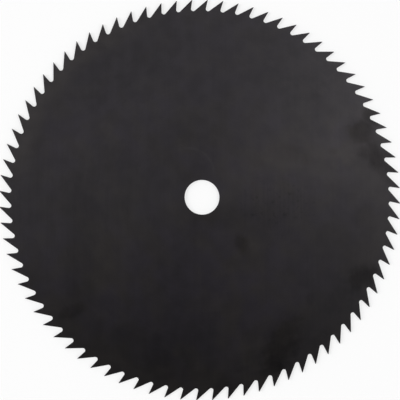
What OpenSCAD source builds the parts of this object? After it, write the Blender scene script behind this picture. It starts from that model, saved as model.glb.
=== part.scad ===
// Toothed brush cutter blade: one flat steel disc with a plain arbor hole.
// It lies on its lower face with the arbor axis on Z. The teeth lead clockwise, seen from above.

/* [Plate] */
// Diameter over the tooth tips
blade_d = 230; // [200:1:305]
// Thickness of the plate
plate_t = 1.4; // [0.8:0.1:3]
// Diameter of the arbor hole
bore_d = 20; // [10:0.1:32]

/* [Teeth] */
// Number of teeth
tooth_count = 80; // [60:1:90]
// Undercut of the cutting face from the radial line, in degrees
rake_angle = 10.7; // [0:0.1:20]
// Fall of the tooth's back from the tangent, in degrees
back_angle = 42.8; // [36:0.1:50]
// Radius of the round bottom of a gullet
gullet_r = 1.3; // [0.6:0.1:1.8]
// Width of the land that the rim of the blank leaves on a tip
tip_land = 0.15; // [0.05:0.05:0.6]
// Angle of the first tip, counter-clockwise from +X, in degrees
first_tip_angle = 2.7; // [0:0.1:6]

/* [Hidden] */

tip_r = blade_d / 2;
pitch_angle = 360 / tooth_count;
tip_pitch = PI * blade_d / tooth_count;

// Angles in a gullet's own frame, where the tip behind it lies on +X
land_angle = 360 * tip_land / (PI * blade_d);
heel_angle = land_angle - pitch_angle;
face_normal = -90 - rake_angle;
back_normal = heel_angle + back_angle;

// A cut this long passes well clear of the tips on both sides of a gullet
cut_reach = 2 * tip_pitch;

bore_facets = 96;
rim_facets = 360;
gullet_facets = 48;

function heading(angle) = [cos(angle), sin(angle)];

// Point that lies a given way along each of two unit normals
function crossing(normal_a, way_a, normal_b, way_b) =
    [way_a * sin(normal_b) - way_b * sin(normal_a), way_b * cos(normal_a) - way_a * cos(normal_b)]
    / sin(normal_b - normal_a);

// The gullet's round bottom touches the cutting face behind it and the tooth's back before it
gullet_centre = crossing(
    face_normal, gullet_r + tip_r * heading(0) * heading(face_normal),
    back_normal, gullet_r + tip_r * heading(heel_angle) * heading(back_normal)
);

// Straight cut as wide as the round bottom, leaving it along one flank
module flank_cut(angle) {
    rotate(angle)
        translate([0, -gullet_r])
            square([cut_reach, 2 * gullet_r]);
}

// Open space between two teeth, drawn round the centre of its round bottom
module gullet() {
    face_heading = face_normal + 90;
    back_heading = back_normal - 90;
    circle(r = gullet_r, $fn = gullet_facets);
    flank_cut(face_heading);
    flank_cut(back_heading);
    polygon([[0, 0], cut_reach * heading(back_heading), cut_reach * heading(face_heading)]);
}

module blade_outline() {
    difference() {
        circle(r = tip_r, $fn = rim_facets);
        circle(d = bore_d, $fn = bore_facets);
        for (tooth = [0 : tooth_count - 1])
            rotate(first_tip_angle + tooth * pitch_angle)
                translate(gullet_centre)
                    gullet();
    }
}

module blade() {
    color([0.17, 0.16, 0.17])
        linear_extrude(plate_t)
            blade_outline();
}

blade();
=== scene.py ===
"""Looks of the brush cutter blade: a blackened steel saw disc lying flat on a white studio table.

All lengths are in metres in the row frame: the blade lies in the XY plane with its arbor axis on Z.
"""
import math

import bpy
from mathutils import Matrix, Vector


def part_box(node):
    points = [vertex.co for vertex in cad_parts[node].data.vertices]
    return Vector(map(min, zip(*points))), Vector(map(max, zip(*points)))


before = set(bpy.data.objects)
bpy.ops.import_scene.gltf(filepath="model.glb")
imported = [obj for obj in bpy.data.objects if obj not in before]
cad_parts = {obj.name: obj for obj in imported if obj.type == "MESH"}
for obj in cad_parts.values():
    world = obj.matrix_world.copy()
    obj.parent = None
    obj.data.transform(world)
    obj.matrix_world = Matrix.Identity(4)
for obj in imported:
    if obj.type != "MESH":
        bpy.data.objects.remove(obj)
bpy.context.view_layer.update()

MM = 0.001
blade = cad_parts["blade"]
blade_low, blade_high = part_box("blade")
PLATE_TOP = blade_high.z

# Camera: above the blade, moved a little to the lower left, so that the upper right is farther away
CAMERA_HEIGHT = 0.457
CAMERA_XY = (-0.02355, -0.02784)
AIM_XY = (-0.00121, -0.00161)
CAMERA_ROLL = math.radians(0.13)
SENSOR_WIDTH = 36.0
PICTURE_SIZE = 400
FOCAL_PX = 800.8

# Softboxes stand far off, so that the table is lit evenly
SOFTBOX_DISTANCE = 4.0
SOFTBOX_SIZE = 2.0

# The table's own white, and the share of it that no shadow takes away, which grows to all of it far out
TABLE_WHITE = 0.97
TABLE_GLOW = 0.65
TABLE_FADE = (0.25, 1.2)
TABLE_GAP = 0.02 * MM

# Edge break left by deburring
EDGE_BREAK = 0.06 * MM
WELD_DISTANCE = 0.001 * MM
SHARP_EDGE = math.radians(35)

# Blackened steel: a violet black with brownish patches
VIOLET_BLACK = (0.0052, 0.0044, 0.0063, 1)
BROWN_BLACK = (0.0066, 0.00565, 0.0046, 1)
PALE_ARC_GREY = (0.0130, 0.0118, 0.0128, 1)
RIM_HIGHLIGHT_BROWN = (0.0150, 0.0132, 0.0118, 1)
CUT_EDGE_BLACK = (0.0090, 0.0084, 0.0090, 1)
SHEEN_TINT = (0.98, 0.925, 1.0, 1)
SATIN = 0.34
# The sheet was ground in circles round its middle before it was blackened
GRIND_STRENGTH = 0.4

# Dull, dark handling marks on the upper face: centre x, y, half length, half width, turn in degrees, strength
DULL_MARKS_MM = [
    (92.5, 38, 9, 7.5, 12, 0.42),
    (99, 47.5, 7, 5.5, -65, 0.36),
    (95.5, 26, 6, 5, -40, 0.30),
    (102, 22.5, 12, 6, -55, 0.38),
    (109, 19.5, 13, 9, -70, 0.30),
    (45, -84, 19, 10.5, 64, 0.35),
    (42, -96, 6, 5, 0, 0.38),
    (-73, -64.5, 8, 4, 20, 0.24),
    (92.5, -46, 10, 6.5, 25, 0.33),
    (22.5, -26.5, 4, 7, 12, 0.28),
    (62, -58, 3, 4, 0, 0.14),
    (52, 25, 7, 6, 0, 0.13),
    (59, 22, 3, 4, 0, 0.12),
    (76, 27, 3, 2, 0, 0.12),
    (7, -11, 20, 7, 0, 0.09),
    (66, 63, 8, 8, 0, 0.07),
    (93, -11, 7, 8, 0, 0.07),
    # The last, faint mark is painted shade that darkens this stretch of rim
    (-60, 87, 18, 8, 38, 0.09),
]

# Broad zones where the finish is browner or more violet: centre x, y, half length, half width, turn,
# how much browner
BROWN_ZONES_MM = [
    (-24, 72, 62, 36, 0, -0.34),
    (-10, -54, 22, 32, 0, -0.42),
    (-40, -74, 28, 14, -20, -0.34),
    (-56, -24, 19, 32, 0, 0.42),
    (64, 26, 38, 13, 0, 0.50),
    (70, 62, 16, 24, 0, 0.50),
    (95, 22, 13, 20, 0, 0.60),
    (24, -25, 12, 12, 0, 0.30),
    (72, -55, 16, 12, 0, -0.25),
    (-2, 40, 14, 18, 0, 0.38),
    (-76, 0, 12, 12, 0, 0.30),
    (46, 0, 16, 9, 0, 0.32),
    (70, -25, 16, 10, 0, 0.25),
]

# Pale arc beside the bore: centre x, y, radius, and the way its middle points
PALE_ARC_MM = (-7.7, 13.8, 14.4)
PALE_ARC_SIDE = math.radians(55)

# Broad patches of painted light and shade, lighter or darker where the upper face catches more or less light:
# centre x, y, half length, half width, turn, change in tone
PAINTED_LIGHT_AND_SHADE_MM = [
    (20, -52, 42, 34, 0, 0.45),
    (0, -80, 17, 15, 0, -0.55),
    (-50, -36, 22, 27, 0, 0.40),
    (44, 15, 46, 18, 12, 0.60),
    (-5, 20, 18, 12, 0, 0.40),
    (-80, 40, 12, 16, 0, 0.35),
    (-99, 0, 13, 28, 0, -0.45),
    (-48, 48, 40, 22, 35, 0.30),
    (-69, -18, 10, 32, 4, -0.45),
    (72, -36, 30, 22, 60, -0.20),
    (-35, 12, 38, 24, 0, -0.35),
    (60, 76, 34, 26, -35, -0.75),
    (27, -10, 22, 12, -10, -0.35),
    (-48, 78, 44, 24, 32, -0.40),
    (-40, -89, 32, 18, -20, -0.40),
    (35, -102, 40, 14, 12, -0.35),
    (72, -76, 42, 20, 48, -0.60),
    (52, -49, 10, 9, 0, -0.35),
    (-67, -52, 8, 8, 0, -0.40),
    (-52, -8, 11, 8, 0, -0.35),
    (-78, -2, 10, 10, 0, -0.35),
    (81, 30, 10, 13, 0, 0.75),
]

# The finish turns browner towards the rim, most on this side
BROWN_RIM_MM = (80, 106)
BROWN_RIM_SIDE = math.radians(-60)

# Stretch of the rim painted pale and warm as a highlight: inner radius, full radius, and the way its middle
# points
RIM_HIGHLIGHT_MM = (97, 107)
RIM_HIGHLIGHT_SIDE = math.radians(142)

# Patch where the rolling lines and small specks show most: centre x, y, half length, half width, turn
STREAKED_MM = (42, -4, 26, 20, 0)


class Shader:
    """A node tree with short calls for the nodes that the materials here share."""

    def __init__(self, tree):
        self.tree = tree
        tree.nodes.clear()

    def node(self, kind, inputs=None, **settings):
        made = self.tree.nodes.new(kind)
        for name, value in settings.items():
            setattr(made, name, value)
        for name, value in (inputs or {}).items():
            self.feed(made.inputs[name], value)
        return made

    def feed(self, socket, value):
        if isinstance(value, bpy.types.NodeSocket):
            self.tree.links.new(value, socket)
        else:
            socket.default_value = value

    def math(self, operation, a, b=0.0):
        return self.node("ShaderNodeMath", {0: a, 1: b}, operation=operation).outputs[0]

    def add(self, first, *others):
        for other in others:
            first = self.math("ADD", first, other)
        return first

    def times(self, a, b):
        return self.math("MULTIPLY", a, b)

    def vector(self, operation, a, b=(0, 0, 0)):
        made = self.node("ShaderNodeVectorMath", {0: a, 1: b}, operation=operation)
        return made.outputs["Value" if operation in ("LENGTH", "DOT_PRODUCT") else "Vector"]

    def shade(self, colour, factor):
        """The colour, lighter or darker by a factor."""
        made = self.node("ShaderNodeVectorMath", {0: colour, "Scale": factor}, operation="SCALE")
        return made.outputs["Vector"]

    def noise(self, vector, size, detail=2.0, roughness=0.5, distortion=0.0):
        """Noise from 0 to 1 whose features are about size long, in the vector's own unit."""
        made = self.node("ShaderNodeTexNoise", {
            "Vector": vector, "Scale": 1.0 / size, "Detail": detail,
            "Roughness": roughness, "Distortion": distortion,
        })
        return made.outputs["Fac"]

    def spread(self, value, low, high, to_low=0.0, to_high=1.0):
        """Maps value from low..high to to_low..to_high, smoothly and without overshoot."""
        made = self.node("ShaderNodeMapRange", {
            "Value": value, "From Min": low, "From Max": high, "To Min": to_low, "To Max": to_high,
        }, interpolation_type="SMOOTHSTEP")
        return made.outputs["Result"]

    def mix_colour(self, factor, a, b):
        made = self.node("ShaderNodeMix", data_type="RGBA")
        self.feed(made.inputs["Factor"], factor)
        self.feed(made.inputs[6], a)
        self.feed(made.inputs[7], b)
        return made.outputs[2]


def soft_patch(shader, coords_mm, place, strength):
    """An oval mask with a soft, slightly ragged edge; place is centre x, y, half length, half width, turn."""
    x, y, half_length, half_width, turn = place
    placed = shader.node("ShaderNodeMapping", {
        "Vector": coords_mm, "Location": (x, y, 0), "Rotation": (0, 0, math.radians(turn)),
        "Scale": (half_length, half_width, 1000.0),
    }, vector_type="TEXTURE")
    reach = shader.vector("LENGTH", placed.outputs["Vector"])
    ragged = shader.noise(coords_mm, 6, detail=2)
    reach = shader.add(reach, shader.spread(ragged, 0.3, 0.7, -0.15, 0.15))
    return shader.spread(reach, 1.35, 0.35, 0.0, strength)


def dull_marks(shader, coords_mm):
    """Patches where the blade was handled, as one mask of how dull each place is."""
    total = 0.0
    for *place, strength in DULL_MARKS_MM:
        total = shader.math("MAXIMUM", total, soft_patch(shader, coords_mm, place, strength))
    return total


def patch_changes(shader, coords_mm, patches):
    """What a list of soft patches changes at each place, around 0."""
    return shader.add(*[soft_patch(shader, coords_mm, place, change) for *place, change in patches])


def facing(shader, vector, direction):
    """How far a flat vector points along a direction in the plate, from -1 to 1."""
    ahead = shader.vector("NORMALIZE", vector)
    towards = (math.cos(direction), math.sin(direction), 0)
    return shader.vector("DOT_PRODUCT", ahead, towards)


def pale_arc_mask(shader, flat_mm):
    """A thin pale arc, broken in places, as a mask from 0 to 1."""
    x, y, radius = PALE_ARC_MM
    out = shader.vector("SUBTRACT", flat_mm, (x, y, 0))
    beside = shader.math("ABSOLUTE", shader.math("SUBTRACT", shader.vector("LENGTH", out), radius))
    broken = shader.spread(shader.noise(flat_mm, 5, detail=2), 0.35, 0.6, 0.35, 1.0)
    side = shader.spread(facing(shader, out, PALE_ARC_SIDE), 0.2, 0.9)
    return shader.times(shader.times(shader.spread(beside, 1.1, 0.2), broken), side)


def brown_rim(shader, flat_mm):
    """How far the finish has turned brown towards the rim, from 0 to 1."""
    outward = shader.spread(shader.vector("LENGTH", flat_mm), *BROWN_RIM_MM)
    return shader.times(outward, shader.spread(facing(shader, flat_mm, BROWN_RIM_SIDE), -0.2, 0.6))


def painted_rim_highlight(shader, flat_mm):
    """The stretch of rim that carries a painted highlight, as a mask from 0 to 1."""
    inner, full = RIM_HIGHLIGHT_MM
    outward = shader.spread(shader.vector("LENGTH", flat_mm), inner, full)
    side = shader.spread(facing(shader, flat_mm, RIM_HIGHLIGHT_SIDE), 0.78, 0.94)
    uneven = shader.spread(shader.noise(flat_mm, 7, detail=2), 0.3, 0.6, 0.5, 1.0)
    return shader.times(shader.times(outward, side), uneven)


def grinding_lines(shader, flat_mm):
    """Fine lines round the arbor axis, each fading in and out along its way."""
    place = shader.node("ShaderNodeSeparateXYZ", {"Vector": flat_mm}).outputs
    radius = shader.vector("LENGTH", flat_mm)
    track = shader.node("ShaderNodeCombineXYZ", {
        "X": radius, "Y": shader.times(place["X"], 0.02), "Z": shader.times(place["Y"], 0.02),
    }).outputs["Vector"]
    return shader.noise(track, 0.9, detail=3, roughness=0.6)


def blackened_steel():
    """Satin black finish on ground sheet: cloudy, with fine grinding and rolling lines and handling marks,
    with painted light and shade in broad patches and a painted highlight along one stretch of rim.
    """
    material = bpy.data.materials.new("blackened_steel_marked_painted_light")
    material.use_nodes = True
    shader = Shader(material.node_tree)
    place = shader.node("ShaderNodeTexCoord").outputs
    coords_mm = shader.vector("MULTIPLY", place["Object"], (1000, 1000, 1000))
    flat_mm = shader.vector("MULTIPLY", coords_mm, (1, 1, 0))

    clouds = shader.noise(coords_mm, 42, detail=3, roughness=0.55)
    mottling = shader.noise(coords_mm, 8, detail=3, roughness=0.55)
    hue = shader.noise(shader.vector("ADD", coords_mm, (300, 0, 0)), 14, detail=2)
    grain = shader.noise(coords_mm, 0.7, detail=2, roughness=0.6)
    rolled = shader.noise(shader.vector("MULTIPLY", coords_mm, (1.0, 0.012, 1.0)), 1.1, detail=3)
    ground = grinding_lines(shader, flat_mm)

    # Cut edges are the faces that stand upright, and the handling marks are on the face that looks up
    rise = shader.node("ShaderNodeSeparateXYZ", {"Vector": place["Normal"]}).outputs["Z"]
    upright = shader.spread(shader.math("ABSOLUTE", rise), 0.75, 0.35)
    upper = shader.spread(rise, 0.5, 0.9)
    dull = shader.times(upper, dull_marks(shader, coords_mm))
    pale_arc = shader.times(upper, pale_arc_mask(shader, flat_mm))
    # Mask of the painted highlight along one stretch of the upper-left rim
    rim_highlight = shader.times(upper, painted_rim_highlight(shader, flat_mm))
    streaked = shader.times(upper, soft_patch(shader, coords_mm, STREAKED_MM, 1.0))
    streaks = shader.times(streaked, shader.spread(rolled, 0.35, 0.65))
    specks = shader.times(streaked, shader.spread(shader.noise(coords_mm, 2.4, detail=2), 0.56, 0.72))

    tone = shader.add(
        shader.spread(clouds, 0.3, 0.7, 0.85, 1.15),
        shader.spread(mottling, 0.3, 0.7, -0.2, 0.2),
        shader.spread(rolled, 0.3, 0.7, -0.05, 0.05),
        shader.spread(ground, 0.3, 0.7, -0.04, 0.04),
        # painted light and shade: the tone is raised or lowered in broad patches across the upper face
        shader.times(upper, patch_changes(shader, coords_mm, PAINTED_LIGHT_AND_SHADE_MM)),
    )
    brown = shader.spread(hue, 0.35, 0.65, 0.0, 0.75)
    zones = shader.times(upper, patch_changes(shader, coords_mm, BROWN_ZONES_MM))
    brown = shader.add(brown, shader.times(brown_rim(shader, flat_mm), 0.6), zones, dull)
    colour = shader.mix_colour(brown, VIOLET_BLACK, BROWN_BLACK)
    colour = shader.shade(colour, tone)
    # The face is mixed towards a pale grey along a thin arc beside the bore
    colour = shader.mix_colour(pale_arc, colour, PALE_ARC_GREY)
    # Painted highlight: that stretch of rim is mixed towards a pale warm brown
    colour = shader.mix_colour(rim_highlight, colour, RIM_HIGHLIGHT_BROWN)
    colour = shader.mix_colour(upright, colour, CUT_EDGE_BLACK)

    rough = shader.add(
        SATIN,
        shader.spread(clouds, 0.3, 0.7, -0.008, 0.008),
        shader.spread(mottling, 0.3, 0.7, 0.006, -0.006),
        shader.spread(rolled, 0.3, 0.7, -0.002, 0.002),
        shader.spread(ground, 0.3, 0.7, -0.004, 0.004),
        shader.times(upright, 0.15),
    )

    # A black metal reflects as little as it is black, so the metal share takes the sheen away
    metal = shader.add(
        dull,
        shader.spread(mottling, 0.3, 0.7, 0.076, 0.0),
        shader.spread(rolled, 0.3, 0.7, 0.022, 0.0),
        shader.spread(ground, 0.3, 0.7, 0.02, 0.0),
        shader.times(streaks, 0.12),
        shader.times(specks, 0.16),
    )

    height = shader.add(shader.times(grain, 0.5), shader.times(rolled, 0.2), shader.times(ground, 0.3))
    bump = shader.node("ShaderNodeBump", {"Strength": 0.2, "Distance": 0.02 * MM, "Height": height})

    # A quarter turn spreads the sheen across the grinding lines
    around = shader.node("ShaderNodeTangent", direction_type="RADIAL", axis="Z")
    surface = shader.node("ShaderNodeBsdfPrincipled", {
        "Base Color": colour, "Roughness": rough, "Metallic": metal, "IOR": 1.52, "Specular Tint": SHEEN_TINT,
        "Anisotropic": GRIND_STRENGTH, "Anisotropic Rotation": 0.25, "Tangent": around.outputs["Tangent"],
        "Normal": bump.outputs["Normal"],
    })
    out = shader.node("ShaderNodeOutputMaterial")
    shader.feed(out.inputs["Surface"], surface.outputs["BSDF"])
    return material


def dress_blade():
    """Breaks the blade's sharp edges a little and gives it its finish."""
    weld = blade.modifiers.new("join_edges", "WELD")
    weld.merge_threshold = WELD_DISTANCE
    bevel = blade.modifiers.new("edge_break", "BEVEL")
    bevel.width = EDGE_BREAK
    bevel.segments = 2
    bevel.limit_method = "ANGLE"
    bevel.angle_limit = SHARP_EDGE
    for material_slot in blade.material_slots:
        material_slot.material = blackened_steel()


def table_top():
    """The plain white table that the blade lies on."""
    bpy.ops.mesh.primitive_plane_add(size=20, location=(0, 0, blade_low.z - TABLE_GAP))
    floor = bpy.context.object
    floor.name = "table_top"
    material = bpy.data.materials.new("white_table")
    material.use_nodes = True
    shader = Shader(material.node_tree)
    white = (TABLE_WHITE, TABLE_WHITE, TABLE_WHITE, 1)
    surface = shader.node("ShaderNodeBsdfDiffuse", {"Color": white})
    glow = shader.node("ShaderNodeEmission", {"Color": (1, 1, 1, 1), "Strength": 1.0})
    ray = shader.node("ShaderNodeLightPath").outputs
    seen = shader.math("MAXIMUM", ray["Is Camera Ray"], ray["Is Glossy Ray"])
    seen = shader.math("MAXIMUM", seen, ray["Is Transmission Ray"])
    place = shader.node("ShaderNodeTexCoord").outputs["Object"]
    share = shader.spread(shader.vector("LENGTH", place), *TABLE_FADE, TABLE_GLOW, 1.0)
    mixed = shader.node("ShaderNodeMixShader", {
        "Fac": shader.times(seen, share), 1: surface.outputs["BSDF"], 2: glow.outputs["Emission"],
    })
    out = shader.node("ShaderNodeOutputMaterial")
    shader.feed(out.inputs["Surface"], mixed.outputs["Shader"])
    floor.data.materials.append(material)


def surroundings():
    """A studio room: a white horizon under a dim ceiling."""
    world = bpy.data.worlds.new("studio_room")
    bpy.context.scene.world = world
    world.use_nodes = True
    shader = Shader(world.node_tree)
    place = shader.node("ShaderNodeTexCoord")
    up = shader.node("ShaderNodeSeparateXYZ", {"Vector": place.outputs["Generated"]}).outputs["Z"]
    ceiling = shader.spread(up, 0.3, 0.6)
    colour = shader.mix_colour(ceiling, (1, 1, 1, 1), (0.05, 0.05, 0.05, 1))
    light = shader.node("ShaderNodeBackground", {"Color": colour, "Strength": 1.0})
    out = shader.node("ShaderNodeOutputWorld")
    shader.feed(out.inputs["Surface"], light.outputs["Background"])


def softbox(name, azimuth, tilt, radiance):
    """A square lamp aimed at the middle of the blade, tilt degrees off the vertical."""
    lamp = bpy.data.lights.new(name, "AREA")
    lamp.shape = "SQUARE"
    lamp.size = SOFTBOX_SIZE
    lamp.energy = radiance * math.pi * SOFTBOX_SIZE ** 2
    holder = bpy.data.objects.new(name, lamp)
    bpy.context.scene.collection.objects.link(holder)
    turn, lean = math.radians(azimuth), math.radians(tilt)
    towards = Vector((math.sin(lean) * math.cos(turn), math.sin(lean) * math.sin(turn), math.cos(lean)))
    holder.location = SOFTBOX_DISTANCE * towards
    holder.rotation_euler = (-towards).to_track_quat("-Z", "Y").to_euler()
    holder.visible_camera = False


def camera():
    """Looks down on the blade from the photograph's place."""
    lens = bpy.data.cameras.new("camera")
    lens.sensor_fit = "HORIZONTAL"
    lens.sensor_width = SENSOR_WIDTH
    lens.lens = SENSOR_WIDTH * FOCAL_PX / PICTURE_SIZE
    lens.clip_start = 0.01
    lens.clip_end = 50
    holder = bpy.data.objects.new("camera", lens)
    bpy.context.scene.collection.objects.link(holder)
    holder.location = (*CAMERA_XY, PLATE_TOP + CAMERA_HEIGHT)
    aim = Vector((*AIM_XY, PLATE_TOP))
    away = (holder.location - aim).normalized()
    level = Vector((0, 1, 0)).cross(away).normalized()
    turn = Matrix.Rotation(-CAMERA_ROLL, 3, away)
    right = turn @ level
    up = away.cross(right)
    axes = Matrix((right, up, away)).transposed()
    holder.matrix_world = Matrix.Translation(holder.location) @ axes.to_4x4()
    bpy.context.scene.camera = holder


dress_blade()
table_top()
surroundings()
softbox("key_softbox", azimuth=30, tilt=34, radiance=2.67)
softbox("left_softbox", azimuth=180, tilt=52, radiance=7.75)
softbox("right_softbox", azimuth=331, tilt=50, radiance=3.0)
softbox("top_softbox", azimuth=100, tilt=20, radiance=0.95)
camera()
bpy.context.scene.view_settings.view_transform = "Standard"
